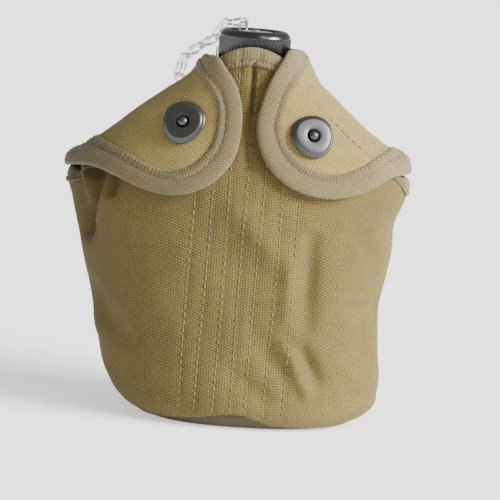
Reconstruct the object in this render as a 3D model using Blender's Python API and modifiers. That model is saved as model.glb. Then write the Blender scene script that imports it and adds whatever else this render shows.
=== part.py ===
"""Belt canteen in its canvas cover: a two-shell metal bottle with a chained screw cap, inside a
felt-lined canvas cover whose two shoulder flaps fasten to studs on the front.

Metres, +Z up. The front faces -Y, the wearer's hip is at +Y, and the origin is on the cover's
flat bottom, under the bottle's neck.
"""

import math

import bmesh
import bpy
import numpy as np
from mathutils import Matrix, Vector

MM = 0.001
GAP = 0.4 * MM  # clearance between touching pieces

# Cover body: height, half width to the left, half width to the right, half depth.
COVER = np.array([
    [2.0, 49.0, 66.0, 33.0],
    [5.0, 55.0, 72.5, 37.0],
    [9.0, 60.0, 76.5, 39.5],
    [19.0, 67.0, 79.5, 41.0],
    [41.0, 73.5, 78.5, 42.0],
    [62.0, 78.5, 77.5, 42.0],
    [95.0, 87.0, 81.0, 42.0],
    [124.0, 90.5, 83.5, 41.5],
    [133.0, 85.0, 80.0, 40.5],
    [145.0, 71.5, 71.0, 37.5],
    [160.0, 53.5, 55.0, 32.5],
    [175.0, 36.5, 38.5, 28.5],
    [184.0, 28.5, 30.0, 26.5],
    [201.0, 26.0, 26.0, 24.5],
]) * MM
# Bottle: height, half width, half depth.
BOTTLE = np.array([
    [4.5, 42.0, 22.0],
    [7.0, 48.5, 27.5],
    [12.0, 55.0, 31.0],
    [24.0, 62.5, 33.5],
    [45.0, 66.5, 34.5],
    [120.0, 68.0, 34.5],
    [134.0, 63.5, 32.5],
    [147.0, 53.0, 27.5],
    [159.0, 40.0, 22.0],
    [169.0, 28.5, 17.5],
    [176.0, 20.5, 15.5],
    [180.0, 15.5, 14.5],
]) * MM
SECTION_POWER = 2.5  # superellipse power of every section
HIP_BEND = 8.0 * MM  # how far the ends of a section curve back towards the hip
HIP_REACH = 80.0 * MM

CANVAS = 1.4 * MM
FELT = 2.0 * MM
WALL_FOOT = 2.2 * MM  # bottom edge of the cover's walls
BOTTOM_PANEL = 1.6 * MM
SEAM_ANGLE = 0.35  # degrees from the side seam to each wall's edge
WALL_COLUMNS = 26
FRONT_CREST = 200.5 * MM  # middle of the front panel's top edge
FRONT_SIDE = 126.0 * MM  # the same edge at the side seams
CREST_SHARE = 0.30  # share of the half width over which that edge climbs
BACK_CREST = 176.0 * MM
TAPE_GAP = 2.5 * MM  # from the top of the front wall to the tape on its mouth
BIND_HEIGHT = 9.0 * MM
BIND_THICK = 4.6 * MM

# Flaps, as seen from the front: x and z of the free edge, from the neck to the outer tip.
FLAP_EDGES = {
    "left": np.array([
        [-14.0, 187.0],
        [-7.5, 176.0],
        [-6.5, 162.0],
        [-10.0, 146.5],
        [-20.0, 132.5],
        [-37.0, 125.0],
        [-54.0, 127.0],
        [-69.0, 130.5],
        [-80.0, 131.5],
    ]) * MM,
    "right": np.array([
        [14.0, 189.5],
        [7.0, 179.0],
        [5.5, 166.0],
        [8.0, 151.0],
        [18.0, 136.5],
        [35.0, 129.0],
        [53.0, 130.0],
        [64.0, 132.0],
        [73.0, 133.8],
    ]) * MM,
}
# Top line of each shoulder, where the canvas turns over to the back, from the neck to the tip.
FLAP_RIDGES = {
    "left": np.array([[-28.5, 189.0], [-92.5, 140.0]]) * MM,
    "right": np.array([[28.6, 192.0], [84.5, 145.5]]) * MM,
}
# Line that each flap bends on, inside the ridge, and the tip beyond its end.
FLAP_HINGES = {
    "left": np.array([[-15.0, 188.1], [-80.0, 138.4]]) * MM,
    "right": np.array([[14.8, 190.6], [73.0, 143.2]]) * MM,
}
FLAP_TIPS = {"left": (-95.0 * MM, 131.5 * MM), "right": (87.5 * MM, 136.5 * MM)}
HINGE_END = 0.86  # share of the ridge beside the outer end of the bending line
HINGE_SLOT = 0.45 * MM  # half the gap between a shoulder and its flap
FLAP_THICK = 1.6 * MM
FLAP_LIFT = 2.9 * MM  # space between the cover's front and the flap's inner face
FLAP_BIND = 12.5 * MM  # width of the edge tape
FOLD_DROP = 8.5 * MM  # how far the shoulder reaches down the back
FOLD_START = 0.28  # share of the ridge where that begins, clear of the neck
FOLD_Y = 21.5 * MM

SNAP_XZ = {"left": (-33.5 * MM, 160.0 * MM), "right": (33.0 * MM, 157.5 * MM)}
POST_RADIUS = 1.9 * MM

CAP_RADIUS = 19.0 * MM
CAP_FOOT = 186.5 * MM
CAP_TOP = 208.0 * MM
CAP_RIBS = 56
NECK_RADIUS = 13.6 * MM
NECK_BORE = 11.0 * MM
NECK_TOP = 202.0 * MM
PLATE_RADIUS = 9.2 * MM
PLATE_TOP = 207.2 * MM

# Chain link: a long wire loop folded in half, so that two end loops lie side by side.
WIRE = 0.45 * MM
LINK_LENGTH = 13.4 * MM
FOLD_RADIUS = 2.2 * MM
FOLD_HALF = 0.75 * MM
LOOP_RADIUS = 2.3 * MM
LOOP_SPREAD = 0.9 * MM
LINK_PITCH = 11.6 * MM
CHAIN_AZIMUTH = 143.0  # degrees from +X of the upright plane that the chain hangs in
CHAIN_START = (8.5 * MM, 211.3 * MM)  # distance from the cap's axis, and height
CHAIN_SLOPES = (-6.0, -52.0, -28.0, -35.0, -72.0, -161.0, 113.0, 184.0)  # degrees
STAPLE_WIRE = 0.6 * MM
STAPLE_HEIGHTS = (180.5 * MM, 197.0 * MM)

HOOK_WIRE = 1.5 * MM
HOOK_PIVOT = (49.8 * MM, 128.0 * MM)  # y and z of the hook's bar
HOOK_HALF = 16.0 * MM  # from the middle to each leg
STRAP_HALF = 12.0 * MM
STRAP_FOOT = 92.0 * MM
STRAP_THICK = 2.0 * MM


# ---------------------------------------------------------------- helpers


def clear_scene():
    for obj in list(bpy.data.objects):
        bpy.data.objects.remove(obj)


def collection(name):
    made = bpy.data.collections.new(name)
    bpy.context.scene.collection.children.link(made)
    return made


def material(name, colour, roughness, metallic=0.0):
    made = bpy.data.materials.new(name)
    made.use_nodes = True
    shader = made.node_tree.nodes["Principled BSDF"]
    shader.inputs["Base Color"].default_value = (*colour, 1.0)
    shader.inputs["Roughness"].default_value = roughness
    shader.inputs["Metallic"].default_value = metallic
    return made


def smooth(places, values, at):
    """Cubic curve through the given values, read at one or more places."""
    at = np.clip(at, places[0], places[-1])
    slopes = np.gradient(values, places)
    k = np.clip(np.searchsorted(places, at, side="right") - 1, 0, len(places) - 2)
    width = places[k + 1] - places[k]
    t = (at - places[k]) / width
    rise = (2 * t**3 - 3 * t**2 + 1) * values[k] + (3 * t**2 - 2 * t**3) * values[k + 1]
    bend = (t**3 - 2 * t**2 + t) * slopes[k] + (t**3 - t**2) * slopes[k + 1]
    return rise + bend * width


def smoothstep(t):
    t = min(max(t, 0.0), 1.0)
    return t * t * (3 - 2 * t)


def add_object(name, mesh, parts, paint):
    obj = bpy.data.objects.new(name, mesh)
    obj.data.materials.append(paint)
    parts.objects.link(obj)
    return obj


def grid_mesh(name, rows, closed=False):
    """Open surface through rows of points. Closed rows join their last point to their first."""
    count = len(rows[0])
    mesh = bpy.data.meshes.new(name)
    last = count if closed else count - 1
    faces = [
        (r * count + c, r * count + (c + 1) % count, (r + 1) * count + (c + 1) % count,
         (r + 1) * count + c)
        for r in range(len(rows) - 1)
        for c in range(last)
    ]
    mesh.from_pydata([tuple(p) for row in rows for p in row], [], faces)
    mesh.shade_smooth()
    return mesh


def sheet(name, rows, thickness, parts, paint, closed=False):
    """A panel: the open surface, thickened against its normals."""
    obj = add_object(name, grid_mesh(name, rows, closed), parts, paint)
    solidify = obj.modifiers.new("thickness", "SOLIDIFY")
    solidify.thickness = thickness
    solidify.offset = -1.0
    return obj


def turned(name, profile, parts, paint, steps=48, place=Matrix.Identity(4)):
    """A solid of revolution about its own Z, from (radius, height) points down its outer side."""
    mesh = bpy.data.meshes.new(name)
    points = [(r, 0.0, z) for r, z in profile]
    edges = [(i, i + 1) for i in range(len(points) - 1)]
    if min(r for r, z in profile) > 0:
        edges.append((len(points) - 1, 0))
    mesh.from_pydata(points, edges, [])
    obj = add_object(name, mesh, parts, paint)
    screw = obj.modifiers.new("turn", "SCREW")
    screw.steps = screw.render_steps = steps
    screw.use_merge_vertices = True
    screw.merge_threshold = 0.00001
    obj.matrix_world = place
    return obj


def disc(name, radius, low, high, parts, paint, place=Matrix.Identity(4), hole=0.0, steps=32):
    """A washer or, with no hole, a plain disc, between two heights on its own axis."""
    place = place @ Matrix.Translation((0, 0, (high + low) / 2))
    mesh = bpy.data.meshes.new(name)
    shape = bmesh.new()
    bmesh.ops.create_cone(shape, cap_ends=True, segments=steps, radius1=radius, radius2=radius,
                          depth=high - low)
    shape.to_mesh(mesh)
    shape.free()
    obj = add_object(name, mesh, parts, paint)
    obj.matrix_world = place
    if hole:
        cut_hole(obj, hole, place, steps=16)
    return obj


def cut_hole(obj, radius, place, steps=16, depth=30 * MM):
    cutter = bpy.data.objects.new(obj.name + "_cutter", bpy.data.meshes.new(obj.name + "_cutter"))
    shape = bmesh.new()
    bmesh.ops.create_cone(shape, cap_ends=True, segments=steps, radius1=radius, radius2=radius,
                          depth=depth)
    shape.to_mesh(cutter.data)
    shape.free()
    cutter.matrix_world = place
    cutter.hide_render = True
    cutter.display_type = "WIRE"
    CUTTERS.objects.link(cutter)
    boolean = obj.modifiers.new("hole", "BOOLEAN")
    boolean.operation = "DIFFERENCE"
    boolean.object = cutter


def wire(name, points, radius, parts, paint, cyclic=False, place=Matrix.Identity(4), sides=1):
    curve = bpy.data.curves.new(name, "CURVE")
    curve.dimensions = "3D"
    curve.bevel_depth = radius
    curve.bevel_resolution = sides
    curve.use_fill_caps = not cyclic
    spline = curve.splines.new("POLY")
    spline.points.add(len(points) - 1)
    for point, place_at in zip(spline.points, points):
        point.co = (*place_at, 1.0)
    spline.use_cyclic_u = cyclic
    obj = bpy.data.objects.new(name, curve)
    curve.materials.append(paint)
    parts.objects.link(obj)
    obj.matrix_world = place
    return obj


def flat_plate(name, outlines, thickness, parts, paint, place):
    """A plate from closed 2D outlines, the second and later ones being holes."""
    curve = bpy.data.curves.new(name, "CURVE")
    curve.dimensions = "2D"
    curve.fill_mode = "BOTH"
    curve.extrude = thickness / 2
    for outline in outlines:
        spline = curve.splines.new("POLY")
        spline.points.add(len(outline) - 1)
        for point, (x, y) in zip(spline.points, outline):
            point.co = (x, y, 0.0, 1.0)
        spline.use_cyclic_u = True
    obj = bpy.data.objects.new(name, curve)
    curve.materials.append(paint)
    parts.objects.link(obj)
    obj.matrix_world = place
    return obj


# ---------------------------------------------------------------- body surfaces


def midplane(x):
    """The sections curve round the hip: their middle line moves back away from the centre."""
    return HIP_BEND * (x / HIP_REACH) ** 2


def section_point(angle, left, right, depth):
    """A point of a kidney section. 0 degrees is the right seam and 270 degrees the front."""
    c, s = math.cos(math.radians(angle)), math.sin(math.radians(angle))
    share = 2 / SECTION_POWER
    half = right if c > 0 else left
    x = half * math.copysign(abs(c) ** share, c)
    return x, midplane(x) + depth * math.copysign(abs(s) ** share, s)


def on_cover(angle, z):
    left, right, depth = (smooth(COVER[:, 0], COVER[:, k], z) for k in (1, 2, 3))
    return Vector((*section_point(angle, left, right, depth), z))


def cover_point(angle, z, offset=0.0):
    """A point of the cover's wall, moved out along the wall's own normal."""
    here = on_cover(angle, z)
    if not offset:
        return here
    across = on_cover(angle + 1.0, z) - on_cover(angle - 1.0, z)
    upward = on_cover(angle, z + 1 * MM) - on_cover(angle, z - 1 * MM)
    return here + across.cross(upward).normalized() * offset


def bottle_point(angle, z):
    half, depth = (smooth(BOTTLE[:, 0], BOTTLE[:, k], z) for k in (1, 2))
    return Vector((*section_point(angle, half, half, depth), z))


def surface_depth(x, z, left, right, offset):
    """How far the cover's wall lies from the middle line at x and z, for given half widths."""
    half = right if x > 0 else left
    ratio = min(abs(x) / half, 1.0)
    depth = smooth(COVER[:, 0], COVER[:, 3], z) + offset
    return depth * (1 - ratio**SECTION_POWER) ** (1 / SECTION_POWER)


def front_top(angle):
    """Height of the front panel's top edge: an arch at the neck, falling to the side seams."""
    across = abs(math.cos(math.radians(angle))) ** (2 / SECTION_POWER)
    climb = smoothstep((1 - across) / CREST_SHARE)
    arch = 6.0 * MM * min(across, 0.75)
    return FRONT_SIDE + (FRONT_CREST - arch - FRONT_SIDE) * climb


def fold_line(side):
    """Where a shoulder meets the back panel: its two ends, from the neck to the outer tip."""
    near, far = FLAP_RIDGES[side]
    along = far - near
    inward = np.array([along[1], -along[0]]) / np.hypot(*along)
    if inward[1] > 0:
        inward = -inward
    near = near + along * FOLD_START + inward * FOLD_DROP
    far = far + inward * FOLD_DROP
    return [Vector((p[0], FOLD_Y, p[1])) for p in (near, far)]


def back_top(angle):
    """Height of the back panel's top edge: level at the neck, then just under each flap's fold."""
    side = "right" if math.cos(math.radians(angle)) > 0 else "left"
    near, far = fold_line(side)
    margin = 2.2 * MM
    low, high = 60 * MM, BACK_CREST
    for _ in range(30):
        z = (low + high) / 2
        x = abs(cover_point(angle, z).x)
        t = (x - abs(near.x)) / (abs(far.x) - abs(near.x))
        limit = near.z + min(max(t, 0.0), 1.0) * (far.z - near.z) - margin
        low, high = (z, high) if z < limit else (low, z)
    return low


def wall_rows(first, rows, top, offset, foot=lambda angle: WALL_FOOT):
    """Rows of points up the front wall (first is 180 degrees) or the back wall (0)."""
    made = []
    for r in range(rows + 1):
        line = []
        for c in range(WALL_COLUMNS + 1):
            angle = first + SEAM_ANGLE + (180 - 2 * SEAM_ANGLE) * c / WALL_COLUMNS
            z = foot(angle) + (top(angle) - foot(angle)) * r / rows
            line.append(cover_point(angle, z, offset))
        made.append(line)
    return made


# ---------------------------------------------------------------- cover


def under_tape(angle):
    return tape_foot(angle) - TAPE_GAP


def tape_foot(angle):
    return front_top(angle) - BIND_HEIGHT


def make_cover(parts, canvas, felt, tape):
    inner = -(CANVAS + GAP)
    front = sheet("front_panel", wall_rows(180, 12, under_tape, 0.0), CANVAS, parts, canvas)
    back = sheet("back_panel", wall_rows(0, 12, back_top, 0.0), CANVAS, parts, canvas)
    front_felt = sheet("front_lining", wall_rows(180, 12, under_tape, inner), FELT, parts, felt)
    sheet("back_lining", wall_rows(0, 12, back_top, inner), FELT, parts, felt)
    sheet("front_binding", wall_rows(180, 2, front_top, 0.5 * MM, tape_foot), BIND_THICK, parts,
          tape)
    outline = [cover_point(7.5 * k, WALL_FOOT, -0.2 * MM).xy for k in range(48)]
    flat_plate("bottom_panel", [outline], BOTTOM_PANEL, parts, canvas,
               Matrix.Translation((0, 0, BOTTOM_PANEL / 2)))
    return front, back, front_felt


# ---------------------------------------------------------------- flaps


def flap_edge(side, s):
    """The free edge at share s of its own length."""
    edge = FLAP_EDGES[side]
    run = np.concatenate([[0.0], np.cumsum(np.hypot(*np.diff(edge, axis=0).T))])
    return np.array([smooth(run / run[-1], edge[:, k], s) for k in (0, 1)])


def flap_front_point(side, x, z, lift):
    """A point on the flap's front, over the cover's wall."""
    near, far = FLAP_RIDGES[side]
    slope = (far[0] - near[0]) / (far[1] - near[1])
    half = abs(near[0] + (max(z, far[1]) - near[1]) * slope)
    depth = surface_depth(x, z, max(half, abs(x)), max(half, abs(x)), lift)
    return Vector((x, midplane(x) - depth, z))


def bend_point(side, s):
    """The shoulder's lower edge at share s: along the bending line, then round the tip."""
    near, far = FLAP_HINGES[side]
    if s <= HINGE_END:
        return near + (far - near) * s / HINGE_END
    turn = np.array([far[0] * 1.012, flap_edge(side, 1.0)[1]])
    middle = HINGE_END + 0.04
    if s <= middle:
        return far + (turn - far) * (s - HINGE_END) / (middle - HINGE_END)
    return turn + (np.array(FLAP_TIPS[side]) - turn) * (s - middle) / (1 - middle)


def shoulder_point(side, s, w, lift):
    """The shoulder's surface: w from -1 at the back, over the ridge at 0, to 1 on its lower edge."""
    near, far = FLAP_RIDGES[side]
    ridge = near + (far - near) * s
    if w >= 0:
        low = bend_point(side, s)
        reach = max(np.hypot(*(low - ridge)) - HINGE_SLOT, 0.0)
        x, z = ridge + (low - ridge) * (reach / np.hypot(*(low - ridge))) * w**1.6
        return flap_front_point(side, x, z, lift)
    start, end = fold_line(side)
    fold = start.lerp(end, s)
    turn = -w * math.pi / 2
    top = Vector((ridge[0], midplane(ridge[0]), ridge[1]))
    point = top.lerp(fold, 1 - math.cos(turn))
    point.y = top.y + (fold.y - top.y) * math.sin(turn)
    return point


def flap_point(side, s, reach, lift):
    """The flap's surface at share s of its edge and a share of the way down to that edge."""
    near, far = FLAP_HINGES[side]
    top = near + (far - near) * s
    down = flap_edge(side, s) - top
    x, z = top + down * reach
    return flap_front_point(side, x, z, lift)


def tape_reach(side, s, gap=0.0):
    """The edge tape's inner edge, or a place that far above it, as a share of the flap."""
    near, far = FLAP_HINGES[side]
    length = np.hypot(*(flap_edge(side, s) - near - (far - near) * s))
    return max(length - FLAP_BIND - gap, 0.3 * length - gap, 0.0) / length


def slot_reach(side, s):
    near, far = FLAP_HINGES[side]
    length = np.hypot(*(flap_edge(side, s) - near - (far - near) * s))
    return min(HINGE_SLOT / length, 0.2)


def outward_rows(side, rows):
    return rows if side == "left" else [row[::-1] for row in rows]


def make_flap(side, parts, canvas, tape):
    lift = FLAP_LIFT + FLAP_THICK
    shares = [HINGE_END * k / 14 for k in range(15)] + [0.90, 0.95, 1.0]
    turns = [-1 + k / 6 for k in range(6)] + [k / 4 for k in range(5)]
    rows = [[shoulder_point(side, s, w, lift) for s in shares] for w in turns]
    sheet(f"{side}_shoulder", outward_rows(side, rows), FLAP_THICK, parts, canvas)
    shares = [0.03 + 0.97 * k / 22 for k in range(23)]
    rows = []
    for k in range(8):
        line = []
        for s in shares:
            first, last = slot_reach(side, s), tape_reach(side, s, gap=0.8 * MM)
            line.append(flap_point(side, s, first + max(last - first, 0.04) * k / 7, lift))
        rows.append(line)
    flap = sheet(f"{side}_flap", outward_rows(side, rows), FLAP_THICK, parts, canvas)
    rows = []
    for k in range(5):
        starts = [max(tape_reach(side, s), slot_reach(side, s) + 0.08) for s in shares]
        rows.append([
            flap_point(side, s, first + (1 - first) * k / 4, lift + 0.5 * MM)
            for s, first in zip(shares, starts)
        ])
    sheet(f"{side}_flap_binding", outward_rows(side, rows), FLAP_THICK + 0.9 * MM, parts, tape)
    return flap


# ---------------------------------------------------------------- fasteners


def snap_place(side):
    """A frame on the front wall at the stud, +Z along the outward normal and origin on canvas."""
    x, z = SNAP_XZ[side]
    step = 3 * MM
    across = flap_front_point(side, x + step, z, 0) - flap_front_point(side, x - step, z, 0)
    upward = flap_front_point(side, x, z + step, 0) - flap_front_point(side, x, z - step, 0)
    normal = across.cross(upward).normalized()
    turn = normal.to_track_quat("Z", "Y").to_matrix().to_4x4()
    here = Vector((x, cover_front(x, z), z))
    return Matrix.Translation(here) @ turn


def cover_front(x, z):
    left, right = (smooth(COVER[:, 0], COVER[:, k], z) for k in (1, 2))
    return midplane(x) - surface_depth(x, z, left, right, 0.0)


def lobed_ring(radius, height, lobe=0.035, count=36):
    """A ring of points with three soft corners, the fastener's outline."""
    ring = []
    for k in range(count):
        turn = 2 * math.pi * k / count
        reach = radius * (1 + lobe * math.cos(3 * turn + 0.9))
        ring.append(Vector((reach * math.cos(turn), reach * math.sin(turn), height)))
    return ring


def make_snap(side, parts, black, steel, flap, front, front_felt):
    place = snap_place(side)
    gap_to_flap = (place.inverted() @ flap_over(side, place)).z
    base = gap_to_flap + 0.5 * MM
    profile = [(3.2, 0.0), (10.6, 0.0), (10.6, 1.4), (9.6, 2.6), (8.2, 3.2), (3.8, 2.9), (3.2, 2.2)]
    rings = [lobed_ring(r * MM, base + h * MM, lobe=0.035 if r > 4 else 0.0) for r, h in profile]
    mesh = grid_mesh(f"{side}_socket", rings + [rings[0]], closed=True)
    socket = add_object(f"{side}_socket", mesh, parts, black)
    weld = bmesh.new()
    weld.from_mesh(mesh)
    bmesh.ops.remove_doubles(weld, verts=weld.verts, dist=0.00001)
    bmesh.ops.recalc_face_normals(weld, faces=weld.faces)
    weld.to_mesh(mesh)
    weld.free()
    socket.matrix_world = place
    for panel in (flap, front, front_felt):
        cut_hole(panel, 3.4 * MM, place)
    plate_top = gap_to_flap - FLAP_THICK - 0.9 * MM
    disc(f"{side}_clinch_plate", 5.2 * MM, plate_top - 0.4 * MM, plate_top, parts, steel, place,
         hole=3.2 * MM, steps=24)
    head = base + 2.6 * MM
    post = [
        (0.0, -0.9), (1.2, -0.9), (1.2, 0.75), (4.4, 0.75), (4.4, 1.0), (POST_RADIUS / MM, 1.3),
        (POST_RADIUS / MM, head / MM - 1.6), (2.3, head / MM - 0.9), (2.3, head / MM),
        (1.4, head / MM + 0.9), (0.0, head / MM + 1.1),
    ]
    turned(f"{side}_stud", [(r * MM, z * MM) for r, z in post[::-1]], parts, black, 20, place)
    depth = -(CANVAS + GAP + FELT) - 2.0 * MM
    rivet = [(0.0, depth), (5.0 * MM, depth), (5.0 * MM, depth + 0.6 * MM),
             (2.4 * MM, depth + 0.6 * MM), (2.4 * MM, -1.2 * MM), (0.0, -1.2 * MM)]
    turned(f"{side}_stud_rivet", rivet[::-1], parts, steel, 20, place)


def flap_over(side, place):
    """The point of the flap's outer face on the stud's axis."""
    axis = place.to_3x3() @ Vector((0, 0, 1))
    low, high = 0.0, 12 * MM
    for _ in range(30):
        reach = (low + high) / 2
        here = place.translation + axis * reach
        inside = here.y > flap_front_point(side, here.x, here.z, FLAP_LIFT + FLAP_THICK).y
        low, high = (reach, high) if inside else (low, reach)
    return place.translation + axis * low


# ---------------------------------------------------------------- bottle and cap


def make_bottle(parts, metal):
    seam = 96.0 * MM
    angles = [360 * k / 32 for k in range(32)]
    heights = [4.5, 7, 11, 18, 30, 55, 78]
    lower = [[bottle_point(a, z * MM) for a in angles] for z in heights]
    lower.append([bottle_point(a, seam - GAP / 2) for a in angles])
    shell = sheet("bottle_lower_shell", lower, 1.0 * MM, parts, metal, closed=True)
    close = bmesh.new()
    close.from_mesh(shell.data)
    rim = [v for v in close.verts if v.co.z < 4.6 * MM]
    close.faces.new(rim[::-1])
    close.to_mesh(shell.data)
    close.free()
    heights = [120, 134, 144, 154, 163, 170, 176, 179.6]
    upper = [[bottle_point(a, seam + GAP / 2) for a in angles]]
    upper += [[bottle_point(a, z * MM) for a in angles] for z in heights]
    sheet("bottle_upper_shell", upper, 1.0 * MM, parts, metal, closed=True)
    neck = [
        (NECK_RADIUS - 1 * MM, NECK_TOP), (NECK_RADIUS, NECK_TOP - 1 * MM),
        (NECK_RADIUS, 181.8 * MM), (15.8 * MM, 181.2 * MM), (15.8 * MM, 180.2 * MM),
        (NECK_BORE, 180.2 * MM), (NECK_BORE, NECK_TOP),
    ]
    turned("threaded_neck", neck, parts, metal, 40)


def ribbed_ring(radius, height, depth):
    ring = []
    for k in range(2 * CAP_RIBS):
        turn = math.pi * k / CAP_RIBS
        reach = radius - (depth if k % 2 else 0.0)
        ring.append(Vector((reach * math.cos(turn), reach * math.sin(turn), height)))
    return ring


def make_cap(parts, bakelite, metal, rubber, steel):
    bore, roof = 14.4, CAP_TOP / MM - 4.0
    foot, top, side = CAP_FOOT / MM, CAP_TOP / MM, CAP_RADIUS / MM
    profile = [
        (bore, foot, 0), (side - 0.4, foot, 0), (side, foot + 0.6, 0.35), (side, top - 3.6, 0.35),
        (side - 0.4, top - 2.8, 0), (side - 1.8, top - 0.6, 0), (16.2, top, 0), (14.6, top, 0),
        (13.8, top - 1.6, 0), (1.6, top - 1.6, 0), (1.6, roof, 0), (bore, roof, 0),
    ]
    rings = [ribbed_ring(r * MM, z * MM, cut * MM) for r, z, cut in profile]
    mesh = grid_mesh("cap_shell", rings + [rings[0]], closed=True)
    weld = bmesh.new()
    weld.from_mesh(mesh)
    bmesh.ops.remove_doubles(weld, verts=weld.verts, dist=0.00001)
    bmesh.ops.recalc_face_normals(weld, faces=weld.faces)
    weld.to_mesh(mesh)
    weld.free()
    add_object("cap_shell", mesh, parts, bakelite)
    gasket_top = roof * MM - 0.4 * MM
    disc("cap_gasket", 13.8 * MM, gasket_top - 1.2 * MM, gasket_top, parts, rubber, hole=3.0 * MM)
    plate_foot = (top - 1.6) * MM + 0.3 * MM
    disc("cap_top_plate", PLATE_RADIUS, plate_foot, plate_foot + 0.5 * MM, parts, metal,
         hole=1.6 * MM)
    low, high = gasket_top - 0.2 * MM, plate_foot + 0.8 * MM
    pin = [(0.0, high + 0.7 * MM), (2.2 * MM, high + 0.5 * MM), (2.6 * MM, high),
           (1.2 * MM, high), (1.2 * MM, low), (2.6 * MM, low), (2.6 * MM, low - 0.6 * MM),
           (0.0, low - 0.6 * MM)]
    turned("cap_rivet", pin, parts, steel, 20)


# ---------------------------------------------------------------- chain


def arc(centre, radius, first, last, count):
    """Points of an arc in its own plane, as (along, across)."""
    turns = np.radians(np.linspace(first, last, count))
    return [(centre + radius * math.cos(t), radius * math.sin(t)) for t in turns]


def link_path():
    """One wire loop folded in half: +X along the chain, +Y across, and the pivot at the origin."""
    fold = arc(0.0, FOLD_RADIUS, 90, 270, 5)
    loop = arc(LINK_LENGTH - FOLD_RADIUS - LOOP_RADIUS, LOOP_RADIUS, 90, -90, 5)
    path = [(x, FOLD_HALF, z) for x, z in fold]
    path += [(x, y, -LOOP_SPREAD) for x, y in loop]
    path += [(x, -FOLD_HALF, z) for x, z in fold[::-1]]
    path += [(x, y, LOOP_SPREAD) for x, y in loop[::-1]]
    return path


def chain_frame(place, slope, across):
    """A link's frame: +X along the chain at that slope in the chain's plane, +Y across it."""
    out = Vector((math.cos(math.radians(CHAIN_AZIMUTH)), math.sin(math.radians(CHAIN_AZIMUTH)), 0))
    along = out * math.cos(math.radians(slope)) + Vector((0, 0, math.sin(math.radians(slope))))
    normal = along.cross(across)
    turn = Matrix((along, across, normal)).transposed().to_4x4()
    return Matrix.Translation(place) @ turn


def make_chain(parts, metal):
    """The links, from the cap's eye out and down, across at the bottom, and back to the neck."""
    azimuth = math.radians(CHAIN_AZIMUTH)
    out = Vector((math.cos(azimuth), math.sin(azimuth), 0))
    across = Vector((out.y, -out.x, 0))
    pivot = out * CHAIN_START[0] + Vector((0, 0, CHAIN_START[1]))
    eye_foot = PLATE_TOP
    half = 3.1 * MM
    drop = eye_foot - pivot.z
    eye = [(-half, drop), (-half, -0.5 * MM), (-half + 0.6 * MM, 0.0), (half - 0.6 * MM, 0.0),
           (half, -0.5 * MM), (half, drop)]
    wire("cap_eye", [pivot + across * a + Vector((0, 0, b)) for a, b in eye], 0.6 * MM, parts,
         metal)
    for k, slope in enumerate(CHAIN_SLOPES, start=1):
        frame = chain_frame(pivot, slope, across)
        wire(f"chain_link_{k:02d}", link_path(), WIRE, parts, metal, cyclic=True, place=frame)
        pivot = frame @ Vector((LINK_PITCH, 0, 0))
    make_neck_staple(pivot - frame.to_3x3() @ Vector((1.6 * MM, 0, 0)), parts, metal)


def make_neck_staple(post, parts, metal):
    """A ring round the foot of the neck, its ends turned up into a tall eye for the last link."""
    low, high = STAPLE_HEIGHTS
    height = 183.2 * MM
    facing = math.atan2(post.y, post.x)
    radius = NECK_RADIUS + GAP + STAPLE_WIRE
    reach = math.hypot(post.x, post.y)
    turns = np.linspace(facing + 0.12, facing + 2 * math.pi - 0.12, 25)
    ring = [Vector((radius * math.cos(t), radius * math.sin(t), height)) for t in turns]
    out = Vector((math.cos(facing), math.sin(facing), 0))
    bend = [(17.5 * MM, height), (reach, low), (reach, high)]
    arm = [out * r + Vector((0, 0, z)) for r, z in bend]
    wire("neck_staple", ring + arm, STAPLE_WIRE, parts, metal)


# ---------------------------------------------------------------- belt hook


def make_hook(parts, tape, steel):
    """The wire belt hook, hanging by its bar in a webbing strap sewn to the back."""
    y, z = HOOK_PIVOT
    inner = HOOK_WIRE + 0.5 * MM
    outer = inner + STRAP_THICK
    wall = cover_point(90, 110 * MM).y + GAP - y
    foot = STRAP_FOOT - z
    outline = arc(0.0, outer, 150, -60, 12)
    outline += [(wall + STRAP_THICK, -9 * MM), (wall + STRAP_THICK, foot), (wall, foot)]
    outline += [(wall, 5 * MM)]
    turn = Matrix(((0, 0, 1), (1, 0, 0), (0, 1, 0))).to_4x4()
    flat_plate("hook_strap", [outline, arc(0.0, inner, 0, 337.5, 16)], 2 * STRAP_HALF, parts,
               tape, Matrix.Translation((0, y, z)) @ turn)
    bend = [(0.8 - 6.0 * math.cos(t), -31.0 - 6.0 * math.sin(t)) for t in np.linspace(0, 3.14, 7)]
    side = [(0.0, -3.0)] + bend + [(6.4, -15.0), (7.4, -12.0)]
    path = [Vector((HOOK_HALF, a * MM, b * MM)) for a, b in side]
    corner = [Vector((HOOK_HALF - k * MM, 0, h * MM)) for k, h in ((0.6, -1.0), (2.6, 0.0))]
    half = path[::-1] + corner
    other = [Vector((-p.x, p.y, p.z)) for p in half[::-1]]
    wire("belt_hook", half + other, HOOK_WIRE, parts, steel, sides=2,
         place=Matrix.Translation((0, y, z)))


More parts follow.
